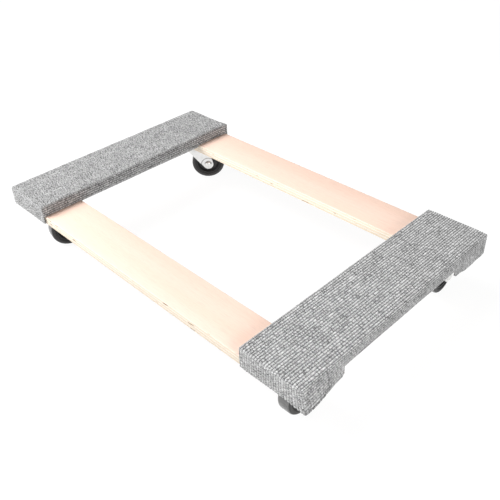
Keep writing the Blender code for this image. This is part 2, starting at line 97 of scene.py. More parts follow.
RIBS = 26
RIB_STEPS = 6
ALONG_STEPS = 296
FACE_ROWS = 30
HEM_ROWS = 14
FOLD_ROWS = 14
EDGE_RADIUS = 0.0050
RIB_HEIGHT = 0.0012
CARPET_THICKNESS = 0.0042
FOLD_THICKNESS = 0.0014
FOLD_LENGTH = 0.0190
FOLD_RADIUS = 0.0044
FOLD_RISE = 0.0024
END_HEM = 0.0372
FLAP_HEM = 0.0385
CORNER_REACH = 0.028
RIB_PITCH = 2 * PAD_HALF_X / RIBS
RIB_POWER = 1.8
KNOB_LENGTH = 0.0034
SLACK = 0.0004
RAGGED = 0.0005
RAGGED_LENGTH = 0.006
HEM_BLEND = 12
FOLD_CLEARANCE = 0.0015
FOLD_BEND_ROWS = 5
BACK_SHADE = 0.15
LOOSE_REACH_X = 0.035
LOOSE_START_Y = 0.150
LOOSE_REACH_Y = 0.080
SEEDS = {"front": 3.1, "rear": 9.7}
DEPTH_END = DECK_TOP - RAIL_HIGH.z - 0.0002
ACROSS = np.linspace(-PAD_HALF_X, PAD_HALF_X, RIBS * RIB_STEPS + 1)
ALONG = np.linspace(-PAD_HALF_Y, PAD_HALF_Y, ALONG_STEPS + 1)
LAST_X = len(ACROSS) - 1
LAST_Y = len(ALONG) - 1

# Caster

FORK_SHEET = 0.0025
FORK_INSIDE = 0.0173
FORK_BEND = 0.0050
FORK_FOOT = 0.0116
FORK_BACK = 0.0310
FORK_FRONT = 0.0234
FORK_STEP = 0.0016
FORK_STEP_RADIUS = 0.0165
HEAD_RADIUS = 0.0074
TREAD_HALF = 0.0120
TREAD_ROUND = 0.0042
WORN_TREAD = 0.13
WORN_ROUGHNESS = 0.26
RIM_RADIUS = 0.0290
RIM_HALF = 0.0105
HUB_HALF = 0.0170
AXLE_RADIUS = 0.0039
SLEEVE_WALL = 0.0014
NUT_HEIGHT = 0.0055
NUT_ACROSS_FLATS = 0.0130
SCREW_ACROSS_FLATS = 0.0095
PIN_RADIUS = 0.0052
THREAD_PITCH = 0.0008


# Meshes


def add_object(name, mesh, material=None, smooth=35.0):
    piece = bpy.data.objects.new(name, mesh)
    bpy.context.scene.collection.objects.link(piece)
    if material is not None:
        mesh.materials.clear()
        mesh.materials.append(material)
    if smooth is not None:
        mesh.shade_smooth()
        mesh.set_sharp_from_angle(angle=math.radians(smooth))
    return piece


def mesh_from(name, points, faces):
    mesh = bpy.data.meshes.new(name)
    mesh.from_pydata([tuple(p) for p in points], [], [tuple(f) for f in faces])
    mesh.validate()
    form = bmesh.new()
    form.from_mesh(mesh)
    bmesh.ops.recalc_face_normals(form, faces=form.faces)
    form.to_mesh(mesh)
    form.free()
    return mesh


def applied(piece):
    """The piece's mesh with its modifiers in it."""
    graph = bpy.context.evaluated_depsgraph_get()
    mesh = bpy.data.meshes.new_from_object(piece.evaluated_get(graph))
    bpy.data.objects.remove(piece)
    return mesh


def bevelled(mesh, width, segments=2, degrees=35.0):
    piece = add_object("blank", mesh, smooth=None)
    edges = piece.modifiers.new("edges", "BEVEL")
    edges.width = width
    edges.segments = segments
    edges.limit_method = "ANGLE"
    edges.angle_limit = math.radians(degrees)
    edges.harden_normals = False
    return applied(piece)


def cut(mesh, *cutters):
    """The mesh less each cutter's mesh."""
    piece = add_object("blank", mesh, smooth=None)
    tools = [add_object("cutter", cutter, smooth=None) for cutter in cutters]
    for tool in tools:
        step = piece.modifiers.new("cut", "BOOLEAN")
        step.operation = "DIFFERENCE"
        step.object = tool
    result = applied(piece)
    for tool in tools:
        bpy.data.objects.remove(tool)
    return result


def arc(centre, radius, start, end, steps):
    turns = [math.radians(start + (end - start) * i / steps) for i in range(steps + 1)]
    return [(centre[0] + radius * math.cos(t), centre[1] + radius * math.sin(t)) for t in turns]


def softened(profile, radius, steps=3, closed=False):
    """The profile with each corner rounded, as far as its neighbours leave room."""
    points = [Vector(p) for p in profile]
    count = len(points)
    result = []
    for i, corner in enumerate(points):
        if not closed and i in (0, count - 1):
            result.append(tuple(corner))
            continue
        before = points[i - 1] - corner
        after = points[(i + 1) % count] - corner
        reach = min(radius, before.length * 0.45, after.length * 0.45)
        start = corner + before.normalized() * reach
        end = corner + after.normalized() * reach
        for k in range(steps + 1):
            t = k / steps
            result.append(tuple(start * (1 - t) ** 2 + corner * 2 * t * (1 - t) + end * t**2))
    return result


def turned(name, profile, steps=64, closed=False, hexed=None):
    """A profile of (radius, height) turned about Z. A point with radius 0 is a pole.

    hexed(radius, height) says how far a ring is a hexagon, from 0 to 1.
    """
    rings, points, faces = [], [], []
    for radius, height in profile:
        if radius < 1e-7:
            rings.append([len(points)] * steps)
            points.append((0, 0, height))
            continue
        rings.append(range(len(points), len(points) + steps))
        share = hexed(radius, height) if hexed else 0.0
        for i in range(steps):
            turn = math.tau * i / steps
            flat = math.cos(math.radians((math.degrees(turn) + 30) % 60 - 30))
            reach = radius * (1 - share + share * math.cos(math.radians(30)) / flat)
            points.append((reach * math.cos(turn), reach * math.sin(turn), height))
    pairs = list(zip(rings, rings[1:]))
    if closed:
        pairs.append((rings[-1], rings[0]))
    for a, b in pairs:
        for i in range(steps):
            k = (i + 1) % steps
            face = list(dict.fromkeys((a[i], a[k], b[k], b[i])))
            if len(face) > 2:
                faces.append(face)
    return mesh_from(name, points, faces)


def flat_sheet(name, outlines, low, high, edge):
    """Flat outlines, the first the outer one and the rest holes, given thickness and soft edges."""
    curve = bpy.data.curves.new(name, "CURVE")
    curve.dimensions = "2D"
    curve.fill_mode = "BOTH"
    curve.extrude = (high - low) / 2 - edge
    curve.bevel_depth = edge
    curve.bevel_resolution = 2
    curve.offset = -edge
    for outline in outlines:
        line = curve.splines.new("POLY")
        line.points.add(len(outline) - 1)
        for point, (x, y) in zip(line.points, outline):
            point.co = (x, y, 0, 1)
        line.use_cyclic_u = True
    piece = bpy.data.objects.new(name, curve)
    bpy.context.scene.collection.objects.link(piece)
    mesh = applied(piece)
    form = bmesh.new()
    form.from_mesh(mesh)
    bmesh.ops.remove_doubles(form, verts=form.verts, dist=1e-6)
    bmesh.ops.translate(form, verts=form.verts, vec=(0, 0, (low + high) / 2))
    form.to_mesh(mesh)
    form.free()
    return mesh


def joined(name, *meshes):
    form = bmesh.new()
    for mesh in meshes:
        form.from_mesh(mesh)
    result = bpy.data.meshes.new(name)
    form.to_mesh(result)
    form.free()
    return result


def rounded_rectangle(length, width, radius, steps=6):
    outline = []
    for sx, sy, start in ((1, 1, 0), (-1, 1, 90), (-1, -1, 180), (1, -1, 270)):
        centre = (sx * (length / 2 - radius), sy * (width / 2 - radius))
        outline += arc(centre, radius, start, start + 90, steps)
    return outline


# Materials


def new_material(name):
    """A material, its nodes, and its Principled shader."""
    material = bpy.data.materials.new(name)
    material.use_nodes = True
    nodes = material.node_tree.nodes
    return material, nodes["Principled BSDF"], material.node_tree


def node(tree, kind, values=(), **settings):
    """A node with its settings, and the values or links of its inputs."""
    made = tree.nodes.new(kind)
    for key, value in settings.items():
        setattr(made, key, value)
    for key, value in dict(values).items():
        if isinstance(value, bpy.types.NodeSocket):
            tree.links.new(value, made.inputs[key])
        else:
            made.inputs[key].default_value = value
    return made


def ramp(tree, factor, stops):
    """A colour ramp over the factor. Each stop is (place, grey or colour)."""
    made = node(tree, "ShaderNodeValToRGB", {"Fac": factor})
    elements = made.color_ramp.elements
    while len(elements) < len(stops):
        elements.new(0.5)
    for element, (place, colour) in zip(elements, stops):
        element.position = place
        element.color = (*colour, 1) if isinstance(colour, tuple) else (colour, colour, colour, 1)
    return made.outputs["Color"]


def mixed(tree, factor, a, b, blend="MIX"):
    """Two colours mixed. Each is a colour or a socket."""
    made = node(tree, "ShaderNodeMix", {0: factor}, data_type="RGBA", blend_type=blend)
    for index, value in ((6, a), (7, b)):
        if isinstance(value, bpy.types.NodeSocket):
            tree.links.new(value, made.inputs[index])
        else:
            made.inputs[index].default_value = (*value, 1)
    return made.outputs[2]


def sums(tree, operation, a, b=0.5, c=0.5):
    made = node(tree, "ShaderNodeMath", {0: a, 1: b, 2: c}, operation=operation)
    return made.outputs[0]


def noise_at(tree, vector, scale, detail=2.0, roughness=0.5):
    values = {"Vector": vector, "Scale": scale, "Detail": detail, "Roughness": roughness}
    return node(tree, "ShaderNodeTexNoise", values).outputs["Fac"]


def stretched(tree, vector, scale):
    return node(tree, "ShaderNodeMapping", {"Vector": vector, "Scale": scale}).outputs["Vector"]


def carpet_material():
    """Ribbed needlefelt, heathered from light and dark fibres, with painted shade in the grooves.

    The yarn attribute holds where a point lies across and along the ribs, in metres, and how
    high it stands on its rib, from 0 in the groove to 1 on the crest: the painted groove shade
    goes by that height.
    """
    material, shader, tree = new_material("ribbed_carpet")
    yarn = node(tree, "ShaderNodeAttribute", attribute_name="yarn").outputs["Vector"]
    parts = node(tree, "ShaderNodeSeparateXYZ", {"Vector": yarn})
    across, along, height = parts.outputs["X"], parts.outputs["Y"], parts.outputs["Z"]
    rib = sums(tree, "FLOOR", sums(tree, "MULTIPLY", across, 1 / RIB_PITCH))
    rib_seed = sums(tree, "MULTIPLY", rib, 7.31)
    along_rib = sums(tree, "MULTIPLY", along, 380)
    row = node(tree, "ShaderNodeCombineXYZ", {"X": rib_seed, "Y": along_rib})
    knobs = noise_at(tree, row.outputs[0], 1.0, 2.0, 0.6)
    flatten = {0: yarn, 1: (1, 1, 0)}
    plan = node(tree, "ShaderNodeVectorMath", flatten, operation="MULTIPLY").outputs[0]
    fibres = noise_at(tree, stretched(tree, plan, (900, 520, 1)), 1.0, 3.0, 0.6)
    patches = noise_at(tree, stretched(tree, plan, (60, 30, 1)), 1.0, 2.0)
    blend = sums(tree, "MULTIPLY_ADD", knobs, 0.92, -0.70)
    blend = sums(tree, "MULTIPLY_ADD", fibres, 1.25, blend)
    blend = sums(tree, "MULTIPLY_ADD", patches, 0.20, blend)
    heather = ramp(tree, blend, ((0.27, 0.07), (0.43, 0.34), (0.57, 0.60), (0.72, 0.78)))
    # painted shade: darkest down in each groove between the ribs, lightest on the crests
    painted_groove_shade = ramp(tree, height, ((0.0, 0.17), (0.38, 0.62), (0.80, 1.0)))
    colour = mixed(tree, 1.0, heather, painted_groove_shade, "MULTIPLY")
    tree.links.new(colour, shader.inputs["Base Color"])
    shader.inputs["Roughness"].default_value = 0.95
    shader.inputs["Specular IOR Level"].default_value = 0.15
    shader.inputs["Sheen Weight"].default_value = 0.25
    shader.inputs["Sheen Roughness"].default_value = 0.6
    pile = sums(tree, "MULTIPLY_ADD", knobs, 0.8, fibres)
    bump = node(tree, "ShaderNodeBump", {"Strength": 0.9, "Distance": 0.0006, "Height": pile})
    tree.links.new(bump.outputs["Normal"], shader.inputs["Normal"])
    return material


def plywood_material():
    """Pale face veneer with its grain along X, and the plies along the edges."""
    material, shader, tree = new_material("plywood")
    place = node(tree, "ShaderNodeTexCoord").outputs["Object"]
    normal = node(tree, "ShaderNodeNewGeometry").outputs["Normal"]
    up = node(tree, "ShaderNodeSeparateXYZ", {"Vector": normal}).outputs["Z"]
    grain = noise_at(tree, stretched(tree, place, (3.0, 130, 60)), 1.0, 4.0, 0.6)
    figure = noise_at(tree, stretched(tree, place, (1.6, 26, 8)), 1.0, 3.0, 0.5)
    pores = noise_at(tree, stretched(tree, place, (40, 1600, 700)), 1.0, 2.0, 0.7)
    tone = sums(tree, "MULTIPLY_ADD", grain, 0.55, sums(tree, "MULTIPLY", figure, 0.55))
    pale, mean, warm = (0.88, 0.665, 0.56), (0.87, 0.64, 0.53), (0.86, 0.62, 0.505)
    face = ramp(tree, tone, ((0.35, warm), (0.55, mean), (0.75, pale)))
    fine = ramp(tree, pores, ((0.30, 0.86), (0.50, 1.0)))
    face = mixed(tree, 1.0, face, fine, "MULTIPLY")
    level = node(tree, "ShaderNodeSeparateXYZ", {"Vector": place}).outputs["Z"]
    wander = noise_at(tree, stretched(tree, place, (14, 14, 0)), 1.0, 2.0)
    level = sums(tree, "MULTIPLY_ADD", wander, 0.0006, level)
    span = {"Value": level, "From Min": RAIL_LOW.z + 0.0003, "From Max": RAIL_HIGH.z + 0.0003}
    share = node(tree, "ShaderNodeMapRange", span).outputs["Result"]
    plies = node(tree, "ShaderNodeValToRGB", {"Fac": share})
    plies.color_ramp.interpolation = "CONSTANT"
    light, dark, line = (0.91, 0.83, 0.73), (0.86, 0.73, 0.57), (0.62, 0.42, 0.25)
    stops = [(0.0, light)]
    first_ply, ply_share, line_share = 0.075, 0.165, 0.012
    for i, ply in enumerate((dark, light, dark, light, dark, light)):
        edge = first_ply + i * ply_share
        stops += [(edge, line), (edge + line_share, ply)]
    elements = plies.color_ramp.elements
    while len(elements) < len(stops):
        elements.new(0.5)
    for element, (at, colour) in zip(elements, stops):
        element.position = at
        element.color = (*colour, 1)
    streaks = noise_at(tree, stretched(tree, place, (90, 90, 1400)), 1.0, 3.0, 0.6)
    streaks = ramp(tree, streaks, ((0.3, 0.86), (0.6, 1.0)))
    edge = mixed(tree, 1.0, plies.outputs["Color"], streaks, "MULTIPLY")
    voids = noise_at(tree, stretched(tree, place, (34, 34, 260)), 1.0, 1.0)
    edge = mixed(tree, ramp(tree, voids, ((0.695, 0.0), (0.715, 1.0))), edge, (0.22, 0.11, 0.045))
    on_face = ramp(tree, sums(tree, "ABSOLUTE", up), ((0.55, 0.0), (0.75, 1.0)))
    tree.links.new(mixed(tree, on_face, edge, face), shader.inputs["Base Color"])
    tree.links.new(ramp(tree, pores, ((0.3, 0.72), (0.6, 0.55))), shader.inputs["Roughness"])
    shader.inputs["Specular IOR Level"].default_value = 0.35
    relief = sums(tree, "ADD", grain, pores)
    bump = node(tree, "ShaderNodeBump", {"Strength": 0.25, "Distance": 0.0003, "Height": relief})
    tree.links.new(bump.outputs["Normal"], shader.inputs["Normal"])
    return material


def metal_material(name, colour, roughness, uneven):
    """Plated steel with an uneven haze, darkened toward grey by painted shade where the piece says
    so.
    """
    material, shader, tree = new_material(name)
    place = node(tree, "ShaderNodeTexCoord").outputs["Object"]
    haze = noise_at(tree, place, 90.0, 4.0, 0.6)
    grit = noise_at(tree, place, 1400.0, 2.0, 0.6)
    low = tuple(v * (1 - uneven) for v in colour)
    clean = ramp(tree, haze, ((0.3, low), (0.7, colour)))
    # painted shade: the plating is mixed toward dark grey as far as the piece's shade attribute says
    painted_shade = node(tree, "ShaderNodeAttribute", attribute_name="painted_shade").outputs["Fac"]
    shaded_colour = mixed(tree, sums(tree, "MULTIPLY", painted_shade, 0.85), clean, (0.10, 0.10, 0.10))
    tree.links.new(shaded_colour, shader.inputs["Base Color"])
    rough = ramp(tree, haze, ((0.3, roughness + 0.10), (0.7, roughness)))
    tree.links.new(rough, shader.inputs["Roughness"])
    shader.inputs["Metallic"].default_value = 1.0
    bump = node(tree, "ShaderNodeBump", {"Strength": 0.06, "Distance": 0.0002, "Height": grit})
    tree.links.new(bump.outputs["Normal"], shader.inputs["Normal"])
    return material


def black_material(name, level, roughness, grain):
    """Moulded plastic or rubber, with dust and a fine grain, greyer where the tread is worn."""
    material, shader, tree = new_material(name)
    place = node(tree, "ShaderNodeTexCoord").outputs["Object"]
    dust = noise_at(tree, place, 70.0, 4.0, 0.6)
    grit = noise_at(tree, place, 900.0, 3.0, 0.6)
    clean = ramp(tree, dust, ((0.35, level), (0.75, level * 1.8)))
    dusty = ramp(tree, dust, ((0.35, WORN_TREAD), (0.75, WORN_TREAD * 1.5)))
    worn = node(tree, "ShaderNodeAttribute", attribute_name="worn").outputs["Fac"]
    tree.links.new(mixed(tree, worn, clean, dusty), shader.inputs["Base Color"])
    rough = ramp(tree, dust, ((0.3, roughness), (0.7, roughness + 0.12)))
    rough = mixed(tree, worn, rough, (WORN_ROUGHNESS,) * 3)
    tree.links.new(rough, shader.inputs["Roughness"])
    bump = node(tree, "ShaderNodeBump", {"Strength": grain, "Distance": 0.0002, "Height": grit})
    tree.links.new(bump.outputs["Normal"], shader.inputs["Normal"])
    return material


def floor_material():
    """A pale floor that is seen through from below."""
    material, shader, tree = new_material("pale_floor")
    shader.inputs["Base Color"].default_value = (0.10, 0.10, 0.10, 1)
    shader.inputs["Roughness"].default_value = 0.9
    shader.inputs["Specular IOR Level"].default_value = 0.1
    shader.inputs["Emission Color"].default_value = (1, 1, 1, 1)
    shader.inputs["Emission Strength"].default_value = 0.93
    under = node(tree, "ShaderNodeNewGeometry").outputs["Backfacing"]
    clear = node(tree, "ShaderNodeBsdfTransparent")
    both = node(tree, "ShaderNodeMixShader", {0: under, 1: shader.outputs[0], 2: clear.outputs[0]})
    tree.links.new(both.outputs[0], tree.nodes["Material Output"].inputs["Surface"])
    return material


# Carpet


def rounded(point, inset):
    """Where a point of the sharp pad box lies once its edges are rounded, and the way out there.

    inset draws the surface in, as for the carpet's back.
    """
    x, y, depth = point
    core = Vector((
        max(-PAD_HALF_X + EDGE_RADIUS, min(PAD_HALF_X - EDGE_RADIUS, x)),
        max(-PAD_HALF_Y + EDGE_RADIUS, min(PAD_HALF_Y - EDGE_RADIUS, y)),
        max(EDGE_RADIUS, depth),
    ))
    out = Vector((x, y, depth)) - core
    out = out.normalized() if out.length > 1e-9 else Vector((0, 0, -1))
    place = core + out * (EDGE_RADIUS - inset)
    return Vector((place.x, place.y, DECK_TOP - place.z)), Vector((out.x, out.y, -out.z))


def rib_height(across, along, seed):
    """How high the pile stands on its rib, from 0 to 1: a round crest, knobbly along it."""
    rib = across / RIB_PITCH
    phase = abs(rib - round(rib)) * 2
    crest = 1 - abs(1 - phase) ** RIB_POWER
    knob = noise.noise((along / KNOB_LENGTH, round(rib - 0.5) * 7.3, seed))
    return max(0.0, min(1.0, crest * (0.90 + 0.24 * knob)))


def smooth(value):
    value = max(0.0, min(1.0, value))
    return value * value * (3 - 2 * value)


def between(value, points):
    """A value read from (place, value) points, smoothly."""
    for (a, va), (b, vb) in zip(points, points[1:]):
        if value <= b:
            return va + (vb - va) * smooth((value - a) / (b - a))
    return points[-1][1]


# The outer face has a flap at each end of the pad. right and left give how deep each flap hangs at
# places along the pad. flare is how far the right-hand flap's loose corner stands out, sag how far
# the inner fold hangs down along the pad, and corners how far a corner of the pad is out of place.
HEMS = {
    "front": {
        "right": ((-0.2370, 0.0385), (-0.1900, 0.0395), (-0.1540, 0.0395), (-0.1465, 0.0360)),
        "left": (
            (0.1385, 0.0345),
            (0.1450, 0.0365),
            (0.1850, 0.0400),
            (0.2080, 0.0380),
            (0.2370, 0.0410),
        ),
        "flare": 0.0085,
        "sag": ((-0.1500, 0.0), (0.1500, 0.0)),
        "corners": {(1, 1): (-0.0010, -0.0010)},
    },
    "rear": {
        "right": ((-0.2370, 0.0405), (-0.1900, 0.0390), (-0.1590, 0.0385), (-0.1510, 0.0350)),
        "left": ((0.1500, 0.0345), (0.1590, 0.0380), (0.2000, 0.0400), (0.2370, 0.0384)),
        "flare": 0.0040,
        "sag": ((-0.1500, 0.0045), (0.0, 0.0030), (0.1500, 0.0022)),
        "corners": {(-1, -1): (-0.0015, -0.0030)},
    },
}


def rib_place(x, y, depth, side):
    """Where a point lies across and along the ribs."""
    if side == "end":
        return x + PAD_HALF_X, math.copysign(abs(y) + depth, y)
    if side == "outer":
        return 2 * PAD_HALF_X + depth, y
    if side == "inner":
        return -depth, y
    return x + PAD_HALF_X, y


def corner_fade(x, y, side):
    """Ribs sink away where they meet at the pad's upright edges."""
    gap = PAD_HALF_X - abs(x) if side == "end" else PAD_HALF_Y - abs(y)
    return 0.35 + 0.65 * smooth(gap / 0.004)


def shown_height(height, side):
    """The height that the material shades by: shallower on the ends, deeper on the inner face."""
    if side == "end":
        return 0.3 + 0.7 * height
    if side == "inner":
        return height**1.4
    return height


class CarpetForm:
    """The carpet of one pad, in a frame whose +X is outwards: ribbed face, back and cut edges.

    The face is a grid over the top whose rim goes on down as columns. A column ends in a hem
    that hangs free, in a fold stapled under the board, or at the top of a rail.
    """

    def __init__(self, end):
        self.hems = HEMS[end]
        self.seed = SEEDS[end]
        self.points, self.yarn = [], []
        self.faces, self.back_faces = [], []

    def add(self, point, out, ribs, relief, depth, side="top"):
        """A point of the carpet, moved by its rib, the slack of the cloth and loose corners."""
        x, y, z = point
        waves = noise.noise((x / 0.05, y / 0.06, z / 0.05 + self.seed)) * SLACK
        stand = 0.0
        shown = BACK_SHADE
        if relief > 0:
            height = rib_height(*ribs, self.seed)
            stand = (height - 1) * RIB_HEIGHT * relief
            shown = shown_height(height, side)
        place = Vector(point) + out * (stand + waves)
        loose_x = smooth((x - PAD_HALF_X + LOOSE_REACH_X) / LOOSE_REACH_X)
        loose_y = smooth((-y - LOOSE_START_Y) / LOOSE_REACH_Y)
        flare = self.hems["flare"] * loose_x * loose_y * (max(0.0, depth) / FLAP_HEM) ** 1.6
        place.x += flare
        place.y -= 0.25 * flare
        for (side_x, side_y), (move_x, move_y) in self.hems["corners"].items():
            away = math.hypot(x - side_x * PAD_HALF_X, y - side_y * PAD_HALF_Y)
            near = smooth(1 - away / CORNER_REACH)
            place.x += move_x * near
            place.y += move_y * near
        self.points.append(place)
        self.yarn.append((*ribs, shown))
        return len(self.points) - 1

    def add_top(self):
        """The grid over the top: its points by (step across, step along)."""
        top = {}
        for i, x in enumerate(ACROSS):
            for j, y in enumerate(ALONG):
                place, out = rounded((x, y, 0.0), 0.0)
                top[i, j] = self.add(place, out, (x + PAD_HALF_X, y), 1.0, 0.0)
        for i in range(LAST_X):
            for j in range(LAST_Y):
                self.faces.append((top[i, j], top[i + 1, j], top[i + 1, j + 1], top[i, j + 1]))
        return top

    def ending(self, i, j):
        """The face that a column runs down, how the column ends, and how deep its hem hangs."""
        x, y = ACROSS[i], ALONG[j]
        flap = self.hems["right"] if y < 0 else self.hems["left"]
        ragged = RAGGED * noise.noise((x / RAGGED_LENGTH, y / RAGGED_LENGTH, self.seed * 2))
        if j in (0, LAST_Y):
            hem = END_HEM
            if i == LAST_X:
                hem = between(y, flap)
            elif i > LAST_X - HEM_BLEND:
                corner = between(math.copysign(PAD_HALF_Y, y), flap)
                hem += (corner - END_HEM) * smooth(1 - (LAST_X - i) / HEM_BLEND)
            return "end", "hem", hem + ragged
        if i < LAST_X:
            between_rails = abs(y) < RAIL_INSIDE - FOLD_CLEARANCE
            return "inner", "fold" if between_rails else "rail", 0.0
        if y <= self.hems["right"][-1][0] or y >= self.hems["left"][0][0]:
            return "outer", "hem", between(y, flap) + ragged
        return "outer", "fold", 0.0

    def add_column(self, start, i, j):
        """A column down from the rim: how it ends, and its points down the face and the back."""
        x, y = ACROSS[i], ALONG[j]
        side, kind, hem = self.ending(i, j)
        fade = corner_fade(x, y, side)
        place, out = rounded((x, y, 0.0), CARPET_THICKNESS)
        face, back = [start], [self.add(place, out, (x + PAD_HALF_X, y), 0.0, 0.0)]
        face_depth = DEPTH_END - (FOLD_RISE if kind == "fold" else 0.0)
        for row in range(1, FACE_ROWS + 1):
            depth = face_depth * row / FACE_ROWS
            ribs = rib_place(x, y, depth, side)
            place, out = rounded((x, y, depth), 0.0)
            face.append(self.add(place, out, ribs, fade, depth, side))
        place, out = rounded((x, y, DEPTH_END), CARPET_THICKNESS)
        back.append(self.add(place, out, rib_place(x, y, DEPTH_END, side), 0.0, DEPTH_END))
        if kind == "hem":
            self.add_hem(face, back, x, y, side, fade, hem)
        if kind == "fold":
            self.add_fold(face, back, y, side)
        return kind, face, back

    def add_hem(self, face, back, x, y, side, fade, hem):
        for row in range(1, HEM_ROWS + 1):
            depth = DEPTH_END + (hem - DEPTH_END) * row / HEM_ROWS
            ribs = rib_place(x, y, depth, side)
            place, out = rounded((x, y, depth), 0.0)
            face.append(self.add(place, out, ribs, fade, depth, side))
            place, out = rounded((x, y, depth), CARPET_THICKNESS)
            back.append(self.add(place, out, ribs, 0.0, depth))

    def add_fold(self, face, back, y, side):
        """The cloth goes round the board's lower edge and a little way in under it."""
        way = 1 if side == "outer" else -1
        x = way * PAD_HALF_X
        level = DECK_TOP - DEPTH_END
        thick = FOLD_THICKNESS + (between(y, self.hems["sag"]) if side == "inner" else 0.0)
        inner = PAD_HALF_X - CARPET_THICKNESS
        end = PAD_HALF_X - FOLD_RADIUS - FOLD_LENGTH
        for row in range(1, FOLD_ROWS + 1):
            turn = min(1.0, row / FOLD_BEND_ROWS) * math.pi / 2
            run = max(0.0, (row - FOLD_BEND_ROWS) / (FOLD_ROWS - FOLD_BEND_ROWS)) * FOLD_LENGTH
            reach = FOLD_RADIUS * (1 - math.cos(turn)) + run
            drop = (FOLD_RISE + thick) * math.sin(turn) - FOLD_RISE
            place = (way * (PAD_HALF_X - reach), y, level - drop)
            out = Vector((way * math.cos(turn), 0, -math.sin(turn)))
            ribs = rib_place(x, y, DEPTH_END + reach + 0.001 * row, side)
            face.append(self.add(place, out, ribs, 0.55, DEPTH_END, side))
            place = (way * (inner + (end - inner) * row / FOLD_ROWS), y, level)
            back.append(self.add(place, Vector((0, 0, 0)), ribs, 0.0, DEPTH_END))

    def join_columns(self, columns):
        """Faces between neighbouring columns, once round the rim."""
        for one, other in zip(columns, columns[1:] + columns[:1]):
            kind, face, back = one
            next_kind, next_face, next_back = other
            rows = len(face) - 1 if kind == next_kind else FACE_ROWS
            for row in range(rows):
                self.faces.append((face[row], face[row + 1], next_face[row + 1], next_face[row]))
            for row in range(rows - FACE_ROWS + 1):
                quad = (back[row], next_back[row], next_back[row + 1], back[row + 1])
                self.back_faces.append(quad)

    def cut_edges(self, columns):
        """Faces across the cloth's thickness, wherever its face ends."""
        back_of = {}
        for _, face, back in columns:
            back_of.update(zip(face[FACE_ROWS:], back[1:]))
        uses = {}
        for face in self.faces:
            for a, b in zip(face, face[1:] + face[:1]):
                uses.setdefault((min(a, b), max(a, b)), []).append((a, b))
        free = [both[0] for both in uses.values() if len(both) == 1]
        return [(b, a, back_of[a], back_of[b]) for a, b in free]

    def add_back_top(self, rim, columns):
        """Strips across the back of the top, from rim to rim."""
        start = {key: back[0] for key, (_, _, back) in zip(rim, columns)}
        for j in range(LAST_Y):
            strip = [start[0, j], start[LAST_X, j]]
            if j == 0:
                strip = [start[i, j] for i in range(LAST_X + 1)]
            if j + 1 == LAST_Y:
                strip += [start[i, LAST_Y] for i in range(LAST_X, -1, -1)]
            else:
                strip += [start[LAST_X, j + 1], start[0, j + 1]]
            self.back_faces.append(tuple(reversed(strip)))

    def mesh(self, name):
        top = self.add_top()
        rim = [(i, 0) for i in range(LAST_X)] + [(LAST_X, j) for j in range(LAST_Y)]
        rim += [(i, LAST_Y) for i in range(LAST_X, 0, -1)] + [(0, j) for j in range(LAST_Y, 0, -1)]
        columns = [self.add_column(top[i, j], i, j) for i, j in rim]
        self.join_columns(columns)
        edges = self.cut_edges(columns)
        self.add_back_top(rim, columns)
        mesh = mesh_from(name, self.points, self.faces + self.back_faces + edges)
        attribute = mesh.attributes.new("yarn", "FLOAT_VECTOR", "POINT")
        attribute.data.foreach_set("vector", np.array(self.yarn, np.float32).ravel())
        return mesh


def make_carpet(end, material):
    """One pad's carpet. The rear one is turned about, so that its outer face is at the rear."""
    mesh = CarpetForm(end).mesh(f"{end}_cover")
    way, turn = (1, 0) if end == "front" else (-1, math.pi)
    place = Matrix.Translation((way * PAD_X, DECK_Y, 0))
    mesh.transform(place @ Matrix.Rotation(turn, 4, "Z"))
    carpet = add_object(f"{end}_carpet_cover", mesh, material, smooth=70)
    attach(carpet, "root")
    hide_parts(f"carpet_{end}")
    return carpet


def make_board(name, node_name, material, corner=0.0, edge=0.0012):
    """A plywood board, with its upright corners rounded and its edges eased by sanding."""
    low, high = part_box(node_name)
    size = high - low
    form = bmesh.new()
    bmesh.ops.create_cube(form, size=1.0)
    bmesh.ops.scale(form, vec=size, verts=form.verts)
    bmesh.ops.translate(form, vec=(low + high) / 2, verts=form.verts)
    if corner:
        upright = [e for e in form.edges if abs(e.verts[0].co.z - e.verts[1].co.z) > size.z / 2]
        bmesh.ops.bevel(form, geom=upright, offset=corner, segments=6, profile=0.5, affect="EDGES")
    sharp = [e for e in form.edges if e.calc_face_angle(0) > math.radians(50)]
    bmesh.ops.bevel(form, geom=sharp, offset=edge, segments=3, profile=0.5, affect="EDGES")
    mesh = bpy.data.meshes.new(name)
    form.to_mesh(mesh)
    form.free()
    board = add_object(name, mesh, material)
    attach(board, "root")
    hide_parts(node_name)
    return board


# Casters, each piece in the caster's own frame


def plate_mesh():
    size = PLATE_HIGH - PLATE_LOW
    outlines = [rounded_rectangle(size.x, size.y, 0.006)]
    slot = rounded_rectangle(0.0110, 0.0058, 0.00289)
    slot_x, slot_y = 0.0365, 0.02225
    for sx in (-1, 1):
        for sy in (-1, 1):
            outlines.append([(x + sx * slot_x, y + sy * slot_y) for x, y in slot])
    thick = PLATE_TOP - PLATE_BOTTOM
    plate = flat_sheet("plate", outlines, PLATE_BOTTOM, PLATE_TOP, 0.0005)
    lip_inside = (RING_HIGH.x - RING_LOW.x) / 2 + 2 * GAP
    lip = softened(
        [
            (lip_inside, PLATE_LOW.z),
            (lip_inside + thick, PLATE_LOW.z),
            (lip_inside + thick + 0.0008, PLATE_BOTTOM + 0.0004),
            (lip_inside, PLATE_BOTTOM + 0.0004),
        ],
        0.0007,
        closed=True,
    )
    hole, sink, past = PIN_RADIUS + GAP, 0.0086 + GAP, 0.002
    seat = [(0.0, PLATE_TOP + past), (sink, PLATE_TOP + past), (sink, PLATE_TOP - 0.0011)]
    seat += [(hole, PLATE_TOP - 0.0014), (hole, PLATE_BOTTOM - past), (0.0, PLATE_BOTTOM - past)]
    drilled = cut(plate, turned("pin_seat", seat, 48))
    return joined("mount_plate", drilled, turned("lip", lip, 96, closed=True))


